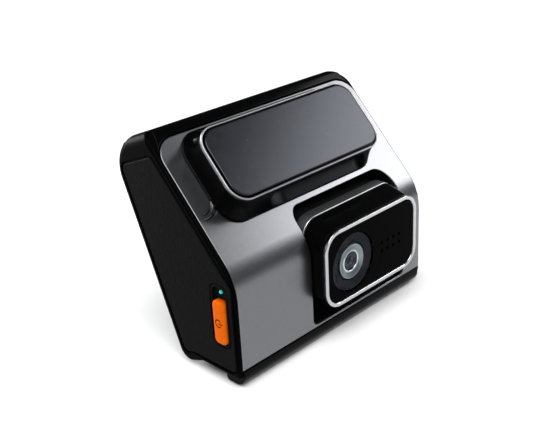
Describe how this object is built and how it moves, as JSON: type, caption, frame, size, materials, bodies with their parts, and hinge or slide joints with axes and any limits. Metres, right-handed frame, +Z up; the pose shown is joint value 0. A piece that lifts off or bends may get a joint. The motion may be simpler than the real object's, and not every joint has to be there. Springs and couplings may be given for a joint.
{
  "type": "dash camera",
  "caption": "Wedge-shaped dash camera with a tilting front lens module, a side power button, a rear screen and a slide-on windscreen bracket.",
  "frame": {"origin": "centre of the adhesive pad's outer face, where the bracket meets the windscreen", "axes": "+Z up, -Y the way the lens looks, +X towards the end away from the power button"},
  "size_m": [0.0943, 0.0568, 0.0766],
  "materials": {
    "satin_metal_finish": "satin",
    "chrome_trim": "polished",
    "gloss_black": "gloss",
    "matte_black": "matte",
    "grained_black": "leather grain",
    "orange": "satin",
    "light_pipe": "clear tinted",
    "foam_pad": "satin",
    "dark_glass": "gloss",
    "clear_glass": "coated",
    "dark_ring": "matte",
    "panel": "satin",
    "board": "solder mask",
    "chip": "moulded",
    "steel": "plated",
    "aluminium": "extruded",
    "ceramic": "matte",
    "flex": "film"
  },
  "bodies": {
    "bracket": {"mount_bracket": "gloss_black", "mount_rim": "chrome_trim", "adhesive_pad": "foam_pad"},
    "device": {"front_shell": "satin_metal_finish", "main_housing": "gloss_black", "rear_cover": "gloss_black", "left_cap": "matte_black", "right_cap": "matte_black", "left_inlay": "grained_black", "right_inlay": "grained_black", "left_cap_screw_1": "steel", "left_cap_screw_2": "steel", "right_cap_screw_1": "steel", "right_cap_screw_2": "steel", "button_bezel": "gloss_black", "tact_switch": "matte_black", "button_board": "board", "status_led": "ceramic", "status_light": "light_pipe", "module_cradle": "matte_black", "pivot_pin_left": "steel", "pivot_pin_right": "steel", "friction_washer_left": "aluminium", "friction_washer_right": "aluminium", "display_glass": "dark_glass", "display_panel": "panel", "display_frame": "aluminium", "main_board": "board", "board_screw_1": "steel", "board_screw_2": "steel", "board_screw_3": "steel", "board_screw_4": "steel", "processor": "chip", "thermal_pad": "foam_pad", "heat_sink": "aluminium", "supercapacitor_1": "aluminium", "supercapacitor_2": "aluminium", "usb_socket": "steel", "card_socket": "steel", "gps_antenna": "ceramic", "sensor_flex": "flex"},
    "lens_module": {"module_trim": "chrome_trim", "module_glass": "dark_glass", "module_body": "gloss_black", "module_sleeve": "satin_metal_finish", "lens_window": "clear_glass", "lens_baffle": "dark_ring", "lens_retainer": "chrome_trim", "front_lens": "clear_glass", "lens_barrel": "matte_black", "rear_lens": "clear_glass", "lens_holder": "matte_black", "image_sensor": "dark_glass", "sensor_board": "board", "sensor_connector": "ceramic", "speaker": "matte_black"},
    "button": {"power_button": "orange", "switch_stem": "steel"},
    "card": {"memory_card": "matte_black"}
  },
  "joints": [
    {"name": "bracket_slide", "type": "slide", "parent": "bracket", "child": "device", "axis": [-1, 0, 0], "range_m": [0, 0.0085]},
    {"name": "lens_tilt", "type": "hinge", "parent": "device", "child": "lens_module", "pos_m": [0.01365, -0.00267, -0.03971], "axis": [1, 0, 0], "range_deg": [-15, 15]},
    {"name": "power_button_press", "type": "slide", "parent": "device", "child": "button", "axis": [1, 0, 0], "range_m": [0, 0.0005], "stiffness_N_per_m": 2400, "springref_m": -0.0001},
    {"name": "card_slide", "type": "slide", "parent": "device", "child": "card", "axis": [1, 0, 0], "range_m": [0, 0.012]}
  ]
}
